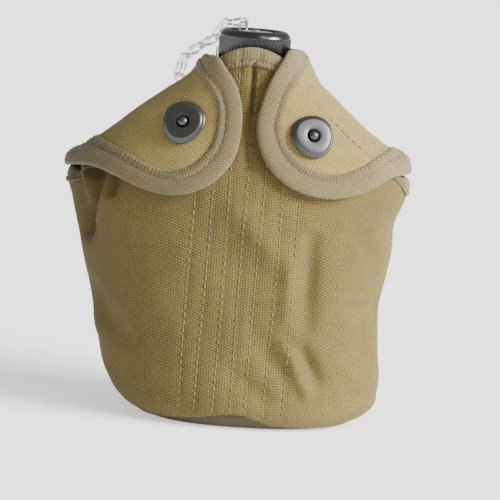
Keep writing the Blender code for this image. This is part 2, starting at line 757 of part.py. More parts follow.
def build():
    clear_scene()
    parts = collection("canteen")
    global CUTTERS
    CUTTERS = collection("cutters")
    canvas = material("canvas", (0.42, 0.33, 0.17), 0.95)
    felt = material("felt", (0.35, 0.32, 0.27), 1.0)
    tape = material("tape", (0.44, 0.38, 0.24), 0.95)
    black = material("black_enamel", (0.03, 0.03, 0.03), 0.35)
    bakelite = material("bakelite", (0.02, 0.02, 0.02), 0.3)
    metal = material("aluminium", (0.75, 0.75, 0.76), 0.35, 1.0)
    steel = material("steel", (0.45, 0.45, 0.45), 0.4, 1.0)
    rubber = material("rubber", (0.05, 0.05, 0.05), 0.9)
    front, back, front_felt = make_cover(parts, canvas, felt, tape)
    for side in ("left", "right"):
        flap = make_flap(side, parts, canvas, tape)
        make_snap(side, parts, black, steel, flap, front, front_felt)
    make_bottle(parts, metal)
    make_cap(parts, bakelite, metal, rubber, steel)
    make_chain(parts, metal)
    make_hook(parts, tape, steel)


build()
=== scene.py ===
"""The looks of the belt canteen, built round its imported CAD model.

Metres, +Z up, front towards -Y, in the CAD's own frame. Every soft CAD solid is replaced by a
sewn piece: canvas walls and flaps with their weave, folds, edge tapes and stitches.
"""

import math
import bmesh
import bpy
import numpy as np
from mathutils import Matrix, Vector


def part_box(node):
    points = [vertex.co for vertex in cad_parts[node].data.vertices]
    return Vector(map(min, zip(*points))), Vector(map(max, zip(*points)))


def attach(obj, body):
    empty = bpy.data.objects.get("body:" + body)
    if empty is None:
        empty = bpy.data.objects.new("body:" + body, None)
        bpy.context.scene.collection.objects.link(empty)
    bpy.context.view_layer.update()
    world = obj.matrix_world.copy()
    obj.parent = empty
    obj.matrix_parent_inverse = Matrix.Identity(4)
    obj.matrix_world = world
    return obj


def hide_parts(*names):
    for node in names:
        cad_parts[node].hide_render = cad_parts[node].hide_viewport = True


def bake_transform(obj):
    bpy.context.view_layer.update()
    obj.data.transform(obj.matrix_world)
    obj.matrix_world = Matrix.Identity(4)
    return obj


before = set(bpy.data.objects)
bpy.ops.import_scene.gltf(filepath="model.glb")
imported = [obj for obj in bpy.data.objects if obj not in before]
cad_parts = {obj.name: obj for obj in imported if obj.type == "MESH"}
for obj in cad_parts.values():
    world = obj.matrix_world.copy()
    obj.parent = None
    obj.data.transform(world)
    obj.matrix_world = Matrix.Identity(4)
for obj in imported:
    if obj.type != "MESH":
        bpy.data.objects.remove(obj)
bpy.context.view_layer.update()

MM = 0.001  # lengths are in metres, so a size in millimetres is written as 5 * MM

# The cover's wall, close to the CAD's: height, half width to the left and right, half depth.
COVER = np.array([
    [2.0, 49.0, 66.0, 33.0],
    [5.0, 55.0, 72.5, 37.0],
    [9.0, 60.0, 77.5, 39.5],
    [19.0, 67.0, 80.0, 41.0],
    [41.0, 73.5, 78.5, 42.0],
    [62.0, 78.5, 77.0, 42.0],
    [95.0, 87.5, 81.5, 42.0],
    [112.0, 92.0, 82.0, 41.8],
    [124.0, 94.5, 86.5, 41.5],
    [133.0, 89.0, 87.0, 40.5],
    [145.0, 71.5, 71.0, 37.5],
    [160.0, 53.5, 55.0, 32.5],
    [175.0, 36.5, 38.5, 28.5],
    [184.0, 28.5, 30.0, 26.5],
    [201.0, 26.0, 26.0, 24.5],
]) * MM
SECTION_POWER = 2.5  # 2 would make each level an ellipse, more makes it squarer
HIP_BEND = 8.0 * MM  # how far the middle plane bends back at HIP_REACH from the centre
HIP_REACH = 80.0 * MM
CANVAS = 1.4 * MM
LINING = 1.7 * MM
LINING_GAP = 1.0 * MM
PROBE = 0.6  # half step for slopes: degrees round the wall, millimetres up it

# The front's hem, which rises in a low hump over HEM_MIDDLE and shows the bottom panel.
HEM = 1.6 * MM
HEM_RISE = 7.6 * MM
HEM_MIDDLE = 4.0 * MM
HEM_REACH = (26.0 * MM, 17.0 * MM)  # to the left and to the right of the middle

# The front's mouth: a crest over the middle that falls to a side edge on the left and the right.
FRONT_CREST = 200.5 * MM
FRONT_SIDES = (129.0 * MM, 135.5 * MM)
CREST_SHARE = 0.30
ARCH_DROP = 14.0 * MM
ARCH_REACH = 0.7
BACK_CREST = 176.0 * MM
MOUTH_TAPE = 9.0 * MM

# The flaps seen from the front, as x and z: the free edge from the neck to the outer tip, whose
# ends both turn over to the back, and the shoulder's ridge.
EDGES = {
    "left": np.array([
        [-27.0, 203.0],
        [-20.5, 196.0],
        [-15.0, 189.5],
        [-9.1, 182.0],
        [-5.2, 172.0],
        [-4.1, 159.0],
        [-7.0, 144.2],
        [-12.7, 135.8],
        [-20.9, 129.0],
        [-37.1, 123.8],
        [-54.0, 126.2],
        [-67.2, 130.4],
        [-80.5, 133.4],
        [-91.0, 131.8],
        [-99.5, 128.6],
    ]) * MM,
    "right": np.array([
        [27.0, 211.0],
        [20.5, 202.5],
        [15.5, 194.0],
        [10.8, 185.6],
        [6.6, 172.7],
        [5.0, 161.0],
        [7.0, 152.0],
        [12.5, 142.0],
        [21.4, 134.2],
        [33.7, 129.0],
        [45.7, 127.5],
        [57.6, 129.2],
        [67.9, 133.4],
        [77.3, 138.2],
        [85.5, 139.0],
        [91.5, 137.5],
    ]) * MM,
}
RIDGES = {
    "left": np.array([
        [-20.5, 193.6],
        [-25.2, 192.6],
        [-32.1, 184.4],
        [-44.2, 174.6],
        [-59.0, 163.0],
        [-72.8, 151.2],
        [-88.0, 139.2],
        [-95.5, 133.6],
        [-97.2, 127.0],
    ]) * MM,
    "right": np.array([
        [19.8, 200.4],
        [25.0, 198.6],
        [31.4, 187.6],
        [43.3, 176.5],
        [54.8, 166.3],
        [67.4, 156.2],
        [76.0, 150.6],
        [85.5, 145.6],
        [88.0, 138.0],
    ]) * MM,
}
# Both ends of each flap's hinge line, as x and z, at the neck and at the tip.
HINGES = {
    "left": np.array([[-15.0, 188.1], [-80.0, 138.4]]) * MM,
    "right": np.array([[14.8, 190.6], [73.0, 143.2]]) * MM,
}
FLAP_LIFT = 4.4 * MM  # from the cover's wall to the flap's outer face
FLAP_THICK = 1.5 * MM
ROLL = 8.0 * MM  # radius of the cloth's turn over the ridge

# The sheet's back edge: a straight line below the ridge, behind the bottle's shoulder.
FOLD_DROP = 8.5 * MM
FOLD_START = 0.28
FOLD_Y = 21.5 * MM

# Each snap's middle, as x and z, and how far round its three corners are turned, in radians.
SNAPS = {"left": (-33.0 * MM, 159.8 * MM), "right": (33.0 * MM, 157.5 * MM)}
SNAP_TURN = {"left": 0.35, "right": 0.75}

# Stitching: the front's rows by their x, and how they drift and draw the cloth in.
STITCH = 2.9 * MM
STITCH_GAP = 1.3 * MM
SEAM_ROWS = np.array([-25.0, -16.3, -7.2, 1.8, 10.2, 19.8, 29.6]) * MM
ROW_FOOT = 9.0 * MM
ROW_TOPS = (178.0 * MM, 189.0 * MM)  # outer rows, and the rows within ROW_MIDDLE of the centre
ROW_MIDDLE = 12.0 * MM
ROW_LEAN = 0.011  # sideways for each unit of height
ROW_DRIFT = 0.5 * MM
CHANNEL = (0.42 * MM, 1.5 * MM)  # depth and half width of the channel along a row
PUCKER_PITCH = 5.1 * MM
SLACK = 0.28 * MM

CAP_RIBS = 84
RIB_DEPTH = 0.75 * MM
LINKS = 8
LINK_SWELL = 0.2 * MM
STRAP_BAR = (49.8 * MM, 128.0 * MM)  # y and z of the belt hook's bar
STRAP_TURN = 2.7 * MM

# The stage, in metres and watts, and the camera.
FLOOR_REACH = 30.0
FLOOR_GLOW = 0.7
WORLD_STRENGTH = 0.5
SUN_STRENGTH = 12.0
SUN_SPREAD = math.radians(28)
SUN_PATH = Vector((-0.86, 0.30, -0.45))
SOFTBOX_SIZE = (0.22, 0.5)
SOFTBOX_POWER = 2.6
SOFTBOX_PLACE = Vector((0.42, -0.62, 0.86))
SOFTBOX_AIM = Vector((0.0, 0.0, 0.17))

CAMERA_DISTANCE = 1.2
CAMERA_RISE = math.radians(9.5)
CAMERA_ROLL = math.radians(4.3)
CAMERA_AIM = Vector((5.6 * MM, 0.0, 90.7 * MM))
VIEW_WIDTH = 267.5 * MM  # seen at the aim point
SENSOR = 36.0

# Folds pressed into the front, in millimetres: ends as x and z, half width, and depth, which is
# negative for a fold that stands proud. FOLD_STRENGTH scales all their depths.
FOLD_STRENGTH = 1.35
FOLDS = [
    (-91, 131, -86, 101, 3.4, 5.0),
    (-78, 134, -84, 96, 4.6, 8.5),
    (-67, 131, -69, 121, 3.0, 4.2),
    (-84, 126, -87, 108, 2.2, -2.4),
    (-70, 126, -77, 104, 3.0, -1.6),
    (-3, 118, 26, 87, 7.0, -1.9),
    (27, 92, 27, 62, 4.0, -1.4),
    (37, 104, 38, 60, 5.0, 2.6),
    (60, 112, 72, 90, 5.0, 1.0),
    (27, 48, 41, 22, 3.4, -1.9),
    (37, 46, 46, 30, 3.6, 2.2),
    (12, 52, 26, 36, 6.0, 1.6),
    (50, 40, 74, 30, 7.0, -1.0),
    (62, 66, 80, 66, 4.5, 1.9),
    (-76, 66, -58, 44, 6.5, 2.0),
    (-80, 52, -64, 38, 5.0, -1.0),
    (-48, 26, -26, 10, 8.0, 1.3),
    (4, 30, 20, 18, 6.0, 1.2),
    (0.6, 192, 1.0, 168, 1.1, 3.0),
    (1.0, 168, 2, 140, 2.4, 1.6),
]


# ---------------------------------------------------------------- surfaces


def smooth(places, values, at):
    """Cubic curve through the given values, read at one or more places."""
    at = np.clip(at, places[0], places[-1])
    slopes = np.gradient(values, places)
    k = np.clip(np.searchsorted(places, at, side="right") - 1, 0, len(places) - 2)
    width = places[k + 1] - places[k]
    t = (at - places[k]) / width
    rise = (2 * t**3 - 3 * t**2 + 1) * values[k] + (3 * t**2 - 2 * t**3) * values[k + 1]
    bend = (t**3 - 2 * t**2 + t) * slopes[k] + (t**3 - t**2) * slopes[k + 1]
    return rise + bend * width


def smoothstep(t):
    t = np.clip(t, 0.0, 1.0)
    return t * t * (3 - 2 * t)


def unit(vectors):
    return vectors / (np.linalg.norm(vectors, axis=-1, keepdims=True) + 1e-12)


def run_along(points):
    """Length along a line of points, from its start to each point."""
    return np.concatenate([[0.0], np.cumsum(np.linalg.norm(np.diff(points, axis=0), axis=1))])


def midplane(x):
    return HIP_BEND * (x / HIP_REACH) ** 2


def section(angle, z):
    """The cover's outer wall: 0 degrees is the right seam and 270 degrees the front."""
    left, right, depth = (smooth(COVER[:, 0], COVER[:, k], z) for k in (1, 2, 3))
    c, s = np.cos(np.radians(angle)), np.sin(np.radians(angle))
    share = 2 / SECTION_POWER
    x = np.where(c > 0, right, left) * np.sign(c) * np.abs(c) ** share
    y = midplane(x) + depth * np.sign(s) * np.abs(s) ** share
    return np.stack(np.broadcast_arrays(x, y, z), axis=-1)


def fold_depth(x, z):
    """How far the front is pressed in at x and z by all of its folds, each deepest in its middle."""
    total = np.zeros(np.broadcast(x, z).shape)
    for x0, z0, x1, z1, width, depth in FOLDS:
        start, end = np.array([x0, z0]) * MM, np.array([x1, z1]) * MM
        along = end - start
        t = ((x - start[0]) * along[0] + (z - start[1]) * along[1]) / (along @ along)
        t = np.clip(t, 0, 1)
        away = np.hypot(x - start[0] - t * along[0], z - start[1] - t * along[1])
        crease = FOLD_STRENGTH * depth * MM * np.exp(-((away / (width * MM)) ** 2))
        total += crease * (0.75 + 0.25 * np.sin(math.pi * t))
    return total


def slack(x, z, phase):
    """Slight unevenness of cloth over felt: three crossing waves, in radians per metre."""
    wave = np.sin(x * 71 + 2.1 * np.sin(z * 53 + phase) + phase)
    wave = wave + 0.8 * np.sin(z * 97 + 1.7 * np.sin(x * 61) + 2 * phase)
    return SLACK * (wave + 0.5 * np.sin(x * 190 + z * 130 + phase))


def row_at(x, z):
    """Where a row of stitching that starts at x lies at height z."""
    return x + ROW_LEAN * (z - 100 * MM) + ROW_DRIFT * np.sin(z * 31 + x * 900)


def quilting(x, z):
    """Channels along the rows of stitching, with small puckers beside them."""
    depth, half_width = CHANNEL
    total = np.zeros(np.broadcast(x, z).shape)
    for k, row in enumerate(SEAM_ROWS):
        away = (x - row_at(row, z)) / half_width
        pucker = 1 + 0.5 * np.sin(z * 2 * math.pi / PUCKER_PITCH + 2 * np.sin(z * 170 + k) + k)
        total += depth * np.exp(-(away**2)) * pucker
    return total


def wall(angle, z, offset=0.0):
    """The cover's wall with its folds, moved out along its normal. Slack stops near every edge."""
    here = section(angle, z)
    across = section(angle + PROBE, z) - section(angle - PROBE, z)
    upward = section(angle, z + PROBE * MM) - section(angle, z - PROBE * MM)
    normal = unit(np.cross(across, upward))
    front = smoothstep(-np.sin(np.radians(angle)) * 4)
    x, up = here[..., 0], here[..., 2]
    calm = smoothstep((up - 4 * MM) / (22 * MM)) * smoothstep((188 * MM - up) / (20 * MM))
    calm = calm * smoothstep(np.abs(np.sin(np.radians(angle))) * 3)
    relief = -fold_depth(x, up) * front
    relief = relief + slack(x, up, np.where(front > 0.5, 0.4, 2.3)) * calm
    relief = relief - quilting(x, up) * front
    return here + normal * (relief + offset)[..., None]


def front_point(x, z, offset=0.0):
    """A point of the front wall at x and z."""
    left, right = (smooth(COVER[:, 0], COVER[:, k], z) for k in (1, 2))
    share = np.clip(np.abs(x) / np.where(x > 0, right, left), 0, 1)
    turn = np.degrees(np.arccos(np.sign(x) * share ** (SECTION_POWER / 2)))
    return wall(360 - turn, z, offset)


def front_top(angle):
    """Height of the front wall's top edge."""
    cosine = np.cos(np.radians(angle))
    across = np.abs(cosine) ** (2 / SECTION_POWER)
    arch = ARCH_DROP * np.minimum(across, ARCH_REACH) ** 2
    side = np.where(cosine < 0, *FRONT_SIDES)
    return side + (FRONT_CREST - arch - side) * smoothstep((1 - across) / CREST_SHARE)


def fold_line(side):
    """The two ends of the flap sheet's edge on the back."""
    near, far = RIDGES[side][1], RIDGES[side][-2]
    along = far - near
    inward = np.array([along[1], -along[0]]) / np.hypot(*along)
    inward = -inward if inward[1] > 0 else inward
    near, far = near + along * FOLD_START + inward * FOLD_DROP, far + inward * FOLD_DROP
    return np.array([near[0], FOLD_Y, near[1]]), np.array([far[0], FOLD_Y, far[1]])


def back_top(angle):
    """Height of the back wall's top edge, just under the folds of the shoulders.

    Halving finds where the wall meets the fold's line, and a window rounds the corners.
    """
    tops = []
    for turn in angle:
        near, far = fold_line("right" if math.cos(math.radians(turn)) > 0 else "left")
        low, high = 60 * MM, BACK_CREST
        for _ in range(24):
            z = (low + high) / 2
            x = abs(section(np.array(turn), np.array(z))[0])
            t = np.clip((x - abs(near[0])) / (abs(far[0]) - abs(near[0])), 0, 1)
            low, high = (z, high) if z < near[2] + t * (far[2] - near[2]) else (low, z)
        tops.append(low)
    window = np.hanning(33)
    padded = np.pad(np.array(tops), 16, mode="edge")
    return np.convolve(padded, window / window.sum(), mode="valid")


def even_line(points, count):
    """A smooth curve through plan points, evenly spaced."""
    run = run_along(points)
    fine = np.stack([smooth(run, points[:, k], np.linspace(0, run[-1], 800)) for k in (0, 1)], 1)
    run = run_along(fine)
    even = np.linspace(0, run[-1], count)
    return np.stack([np.interp(even, run, fine[:, k]) for k in (0, 1)], 1)


def normals_along(line, side):
    """Unit normals of a plan line that runs from the neck to the tip, towards the ridge."""
    along = unit(np.gradient(line, axis=0))
    turned_by = np.stack([-along[:, 1], along[:, 0]], 1)
    return -turned_by if side == "left" else turned_by


def flap_front(side, x, z):
    """The flap's outer face over the front wall."""
    ridge = RIDGES[side][1:]
    half = np.interp(z, ridge[::-1, 1], np.abs(ridge[::-1, 0]))
    half = np.maximum(half, np.abs(x))
    depth = smooth(COVER[:, 0], COVER[:, 3], z) + FLAP_LIFT
    bulge = depth * (1 - (np.abs(x) / half) ** SECTION_POWER) ** (1 / SECTION_POWER)
    return np.stack(np.broadcast_arrays(x, midplane(x) - bulge, z), axis=-1)


def over_flap(side, plan):
    """The flap sheet's outer face at plan points; past the ridge it turns over to the back."""
    ridge = even_line(RIDGES[side], 1500)
    out = normals_along(ridge, side)
    away = np.hypot(plan[..., None, 0] - ridge[:, 0], plan[..., None, 1] - ridge[:, 1])
    k = away.argmin(-1)
    foot, out = ridge[k], out[k]
    beyond = ((plan - foot) * out).sum(-1)
    front = flap_front(side, plan[..., 0], plan[..., 1])
    turn = np.clip(beyond / ROLL, 0, math.pi / 2)
    back = flap_front(side, foot[..., 0], foot[..., 1])
    back[..., [0, 2]] += out * (ROLL * (np.cos(turn) - 1))[..., None]
    back[..., 1] += ROLL * np.sin(turn) + np.maximum(beyond - ROLL * math.pi / 2, 0)
    return np.where((beyond > 0)[..., None], back, front)


def on_flap(side, plan, height):
    """Points at a height over the flap sheet's outer face, and the normals there."""
    step = np.array([1.2 * MM, 0.0])
    across = over_flap(side, plan + step) - over_flap(side, plan - step)
    upward = over_flap(side, plan + step[::-1]) - over_flap(side, plan - step[::-1])
    normal = unit(np.cross(across, upward))
    return over_flap(side, plan) + normal * np.asarray(height)[..., None], normal


# ---------------------------------------------------------------- materials


class Paint:
    """A material made of nodes: each call adds a node and gives back its output."""

    def __init__(self, name, roughness=0.9, metallic=0.0):
        self.made = bpy.data.materials.new(name)
        self.made.use_nodes = True
        self.tree = self.made.node_tree
        self.shader = self.tree.nodes["Principled BSDF"]
        self.shader.inputs["Roughness"].default_value = roughness
        self.shader.inputs["Metallic"].default_value = metallic

    def add(self, kind, inputs=(), output=0, **settings):
        node = self.tree.nodes.new("ShaderNode" + kind)
        for key, value in settings.items():
            setattr(node, key, value)
        for key, value in dict(inputs).items():
            if isinstance(value, bpy.types.NodeSocket):
                self.tree.links.new(value, node.inputs[key])
            else:
                node.inputs[key].default_value = value
        return node.outputs[output]

    def maths(self, operation, *values):
        return self.add("Math", dict(enumerate(values)), operation=operation)

    def noise(self, scale, detail=3.0, where=None, roughness=0.6):
        where = where or self.add("TexCoord", output="Object")
        return self.add("TexNoise", {"Vector": where, "Scale": scale, "Detail": detail,
                                     "Roughness": roughness}, output="Fac")

    def ramp(self, factor, stops):
        made = self.tree.nodes.new("ShaderNodeValToRGB")
        points = made.color_ramp.elements
        while len(points) < len(stops):
            points.new(0.5)
        for point, (place, colour) in zip(points, stops):
            point.position = place
            point.color = (*colour, 1.0) if len(colour) == 3 else colour
        self.tree.links.new(factor, made.inputs["Fac"])
        return made.outputs["Color"]

    def mix(self, factor, a, b, blend="MIX"):
        made = self.tree.nodes.new("ShaderNodeMix")
        made.data_type = "RGBA"
        made.blend_type = blend
        for socket, value in ((made.inputs[0], factor), (made.inputs[6], a), (made.inputs[7], b)):
            if isinstance(value, bpy.types.NodeSocket):
                self.tree.links.new(value, socket)
            else:
                socket.default_value = (*value, 1.0) if isinstance(value, tuple) else value
        return made.outputs[2]

    def colour(self, value):
        self.tree.links.new(value, self.shader.inputs["Base Color"])

    def rough(self, value):
        self.tree.links.new(value, self.shader.inputs["Roughness"])

    def bump(self, height, distance, strength=1.0):
        made = self.add("Bump", {"Height": height, "Distance": distance, "Strength": strength})
        self.tree.links.new(made, self.shader.inputs["Normal"])


def shade(colour, k):
    return tuple(min(c * k, 1.0) for c in colour)


def grey(value):
    return (value, value, value)


def cloth(name, base, warp, weft, contrast, relief, sheen=0.15):
    """Plain weave, with painted light: darker to the left, lighter to the right. Warp and weft are
    thread pitches across and along the UV map; contrast is how much painted shade darkens the gaps
    and a painted highlight lightens the threads' tops."""
    paint = Paint(name, roughness=0.92)
    paint.shader.inputs["Sheen Weight"].default_value = sheen
    paint.shader.inputs["Specular IOR Level"].default_value = 0.2
    place = paint.add("UVMap", output="UV")
    wobble = paint.add("TexNoise", {"Vector": place, "Scale": 260.0, "Detail": 2.0}, output="Color")
    shift = paint.add("VectorMath", {0: wobble, 1: (0.5, 0.5, 0.5)}, operation="SUBTRACT")
    shift = paint.add("VectorMath", {0: shift, "Scale": 0.45 * MM}, operation="SCALE")
    place = paint.add("VectorMath", {0: place, 1: shift}, operation="ADD")
    split = paint.tree.nodes.new("ShaderNodeSeparateXYZ")
    paint.tree.links.new(place, split.inputs[0])
    u = paint.maths("MULTIPLY", split.outputs[0], math.pi / warp)
    v = paint.maths("MULTIPLY", split.outputs[1], math.pi / weft)
    su, sv = paint.maths("SINE", u), paint.maths("SINE", v)
    cross = paint.maths("MULTIPLY", su, sv)
    threads = paint.maths("MULTIPLY_ADD", cross, 0.5, 0.5)
    gaps = paint.maths("MINIMUM", paint.maths("ABSOLUTE", su), paint.maths("ABSOLUTE", sv))
    gaps = paint.maths("SMOOTH_MIN", paint.maths("MULTIPLY", gaps, 2.6), 1.0, 0.2)
    height = paint.maths("MULTIPLY", paint.maths("MULTIPLY_ADD", threads, 0.75, 0.25), gaps)
    slub = paint.noise(900.0, 2.0)
    height = paint.maths("MULTIPLY_ADD", slub, 0.35, height)
    # The weave's height also sets its colour: painted shade darkens the gaps between threads and a
    # painted highlight lightens the threads' tops.
    fine = paint.ramp(height, [(0.12, shade(base, 1 - contrast)), (0.55, base),
                               (1.0, shade(base, 1 + contrast))])
    broad = paint.ramp(paint.noise(26.0, 4.0), [(0.3, (0.86, 0.85, 0.82)), (0.7, (1.1, 1.09, 1.08))])
    mottle = paint.ramp(paint.noise(150.0, 3.0), [(0.3, (0.93, 0.93, 0.92)), (0.7, grey(1.06))])
    # Painted light: the cloth's colour is multiplied by a ramp along X, darker on the left and
    # lighter on the right, as if lit from the right.
    side = paint.add("SeparateXYZ", {0: paint.add("TexCoord", output="Object")})
    painted_light_gain = paint.add("MapRange", {0: side, 1: -90 * MM, 2: 90 * MM, 3: 0.80, 4: 1.42})
    weave_with_painted_light = paint.mix(1.0, fine, paint.add("CombineColor", {0: painted_light_gain, 1: painted_light_gain, 2: painted_light_gain}), "MULTIPLY")
    toned = paint.mix(1.0, paint.mix(1.0, weave_with_painted_light, broad, "MULTIPLY"), mottle, "MULTIPLY")
    flecks = paint.ramp(paint.noise(1500.0, 1.0), [(0.70, grey(0)), (0.78, grey(1))])
    fleck_share = paint.maths("MULTIPLY", flecks, 0.35)
    paint.colour(paint.mix(fleck_share, toned, shade(base, 1.7)))
    paint.bump(height, relief)
    return paint.made


def felt(name, base):
    """Matted hairs over soft clumps."""
    paint = Paint(name, roughness=1.0)
    paint.shader.inputs["Sheen Weight"].default_value = 0.4
    hairs = paint.noise(1400.0, 4.0, roughness=0.8)
    clumps = paint.noise(240.0, 3.0)
    fine = paint.ramp(hairs, [(0.3, shade(base, 0.6)), (0.7, shade(base, 1.4))])
    broad = paint.ramp(clumps, [(0.3, grey(0.8)), (0.7, grey(1.1))])
    paint.colour(paint.mix(1.0, fine, broad, "MULTIPLY"))
    paint.bump(paint.maths("ADD", hairs, clumps), 0.5 * MM)
    return paint.made


def hard(name, base, worn, roughness, metallic=0.0, wear=0.62, scale=90.0, relief=0.03 * MM,
         specular=0.5):
    """Metal or moulding with fine scratches, smudges and worn spots."""
    paint = Paint(name, roughness=roughness, metallic=metallic)
    paint.shader.inputs["Specular IOR Level"].default_value = specular
    spots = paint.noise(scale, 5.0, roughness=0.7)
    grain = paint.noise(scale * 16, 2.0)
    tone = paint.ramp(spots, [(0.25, shade(base, 0.8)), (wear, base), (wear + 0.06, worn)])
    fine = paint.ramp(grain, [(0.3, shade(base, 0.7)), (0.7, shade(base, 1.35))])
    paint.colour(paint.mix(0.25, tone, fine))
    paint.rough(paint.maths("MULTIPLY_ADD", spots, 0.25, roughness - 0.1))
    paint.bump(paint.maths("MULTIPLY_ADD", grain, 0.5, spots), relief)
    return paint.made


# ---------------------------------------------------------------- meshes


def finish_mesh(name, mesh, material, body, replaces=()):
    """An object in the scene that rides on a body, or on none yet where body is None."""
    obj = bpy.data.objects.new(name, mesh)
    bpy.context.scene.collection.objects.link(obj)
    mesh.materials.clear()
    mesh.materials.append(material)
    if body:
        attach(obj, body)
    if replaces:
        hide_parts(*replaces)
    return obj


def grid(name, points, material, body, thickness=0.0, closed=False, uv=None, replaces=()):
    """A sheet through a grid of points, thickened inwards, with its UV map in metres."""
    rows, cols = points.shape[:2]
    mesh = bpy.data.meshes.new(name)
    last = cols if closed else cols - 1
    faces = [(r * cols + c, r * cols + (c + 1) % cols, (r + 1) * cols + (c + 1) % cols,
              (r + 1) * cols + c) for r in range(rows - 1) for c in range(last)]
    mesh.from_pydata(points.reshape(-1, 3).tolist(), [], faces)
    mesh.shade_smooth()
    if uv is None:
        steps = np.linalg.norm(np.diff(points, axis=1), axis=2)
        across = np.concatenate([np.zeros((rows, 1)), np.cumsum(steps, axis=1)], axis=1)
        across -= across[:, cols // 2][:, None]
        steps = np.linalg.norm(np.diff(points, axis=0), axis=2)
        along = np.concatenate([np.zeros((1, cols)), np.cumsum(steps, axis=0)], axis=0)
        uv = np.stack([across, along], axis=-1)
    layer = mesh.uv_layers.new(name="UVMap")
    loops = np.zeros(len(mesh.loops), int)
    mesh.loops.foreach_get("vertex_index", loops)
    layer.data.foreach_set("uv", uv.reshape(-1, 2)[loops].ravel())
    obj = finish_mesh(name, mesh, material, body, replaces)
    if thickness:
        solidify = obj.modifiers.new("thickness", "SOLIDIFY")
        solidify.thickness = thickness
        solidify.offset = -1.0
    return obj


def ring(reach, turn, height):
    """Points round the Z axis at the angles turn; reach may differ from angle to angle."""
    return np.stack([reach * np.cos(turn), reach * np.sin(turn), np.full(len(turn), height)], 1)


def placed(points, place):
    return points @ np.array(place.to_3x3()).T + np.array(place.translation)


def turned(name, profile, material, body, place=None, steps=72, replaces=()):
    """A solid of revolution from (radius, height) points, down its outer side."""
    turn = np.linspace(0, 2 * math.pi, steps, endpoint=False)
    points = np.array([ring(radius, turn, height) for radius, height in profile])[::-1]
    if place is not None:
        points = placed(points, place)
    clean(grid(name, points, material, body, closed=True, replaces=replaces))


def clean(obj):
    """Welds points that meet and turns every face outwards."""
    made = bmesh.new()
    made.from_mesh(obj.data)
    bmesh.ops.remove_doubles(made, verts=made.verts, dist=0.00001)
    bmesh.ops.recalc_face_normals(made, faces=made.faces)
    made.to_mesh(obj.data)
    made.free()


def stitches(name, runs, material, body, radius=0.27 * MM):
    """Short raised threads: every run holds points on the cloth and the normals there.

    A thread is a six-sided tube of four rings that dips into the cloth at both ends.
    """
    verts, faces = [], []
    for points, normals in runs:
        run = run_along(points)
        for start in np.arange(0.5 * MM, run[-1] - STITCH, STITCH + STITCH_GAP):
            ends = [np.array([np.interp(start + t * STITCH, run, points[:, k]) for k in range(3)])
                    for t in (0.0, 0.3, 0.7, 1.0)]
            normal = np.array([np.interp(start, run, normals[:, k]) for k in range(3)])
            across = unit(np.cross(ends[3] - ends[0], normal))
            base = len(verts)
            for point, height, wide in zip(ends, (-0.25, 0.75, 0.75, -0.25), (0.5, 1, 1, 0.5)):
                for turn in range(6):
                    a = turn * math.pi / 3
                    verts.append(point + radius * (normal * (height + wide * math.sin(a))
                                                   + across * wide * math.cos(a)))
            for ring in range(3):
                for turn in range(6):
                    a, b = base + ring * 6 + turn, base + ring * 6 + (turn + 1) % 6
                    faces.append((a, b, b + 6, a + 6))
            faces.append(tuple(base + k for k in range(6))[::-1])
            faces.append(tuple(base + 18 + k for k in range(6)))
    mesh = bpy.data.meshes.new(name)
    mesh.from_pydata([tuple(v) for v in verts], [], faces)
    mesh.shade_smooth()
    return finish_mesh(name, mesh, material, body)


# ---------------------------------------------------------------- cover


def make_cover(look):
    """Both canvas walls with their felt linings; the front's hem rises a little over the bottom."""
    columns = np.linspace(0.0, 180.0, 200)
    for name, start, top, replaced in (
        ("cover_front", 180.0, front_top, ("front_panel",)),
        ("cover_back", 0.0, back_top, ("back_panel",)),
    ):
        angle = start + columns
        foot = HEM + np.zeros_like(angle)
        if start:
            away = section(angle, np.full_like(angle, 6 * MM))[:, 0] - HEM_MIDDLE
            reach = np.where(away > 0, *HEM_REACH[::-1])
            foot += HEM_RISE * np.exp(-((away / reach) ** 2))
        high = top(angle) - (MOUTH_TAPE - 1 * MM if start else 0.0)
        t = np.linspace(0, 1, 150)[:, None]
        z = foot + (high - foot) * t
        grid(name, wall(angle + 0 * t, z), look["canvas"], "cover", thickness=CANVAS,
             replaces=replaced)
        inner = wall(angle + 0 * t, z, -CANVAS - LINING_GAP)
        lining = "front_lining" if start else "back_lining"
        grid(f"{lining}_felt", inner[6:], look["felt"], "cover", thickness=LINING,
             replaces=(lining,))
    make_bottom(look)
    make_mouth_tape(look)
    make_seams(look)


def make_bottom(look):
    """The bottom panel: flat underneath, turned up inside the walls."""
    angle = np.linspace(0, 360, 160, endpoint=False)
    # Share of the wall's section, and height in millimetres.
    profile = [(0.93, 15.0), (0.93, 9.0), (0.935, 4.5), (0.945, 2.6), (0.94, 1.2), (0.90, 0.3),
               (0.84, 0.0), (0.5, 0.0), (0.02, 0.0)]
    rows = []
    for share, z in profile:
        rim = section(angle, np.full_like(angle, max(z, 2.0) * MM))[:, :2]
        rows.append(np.column_stack([rim * share, np.full(len(angle), z * MM)]))
    points = np.array(rows)[::-1]
    uv = points[..., :2] - points[..., 2:] * [0.0, 1.0]
    grid("cover_bottom", points, look["canvas_dark"], "cover", thickness=CANVAS,
         closed=True, uv=uv, replaces=("bottom_panel",))


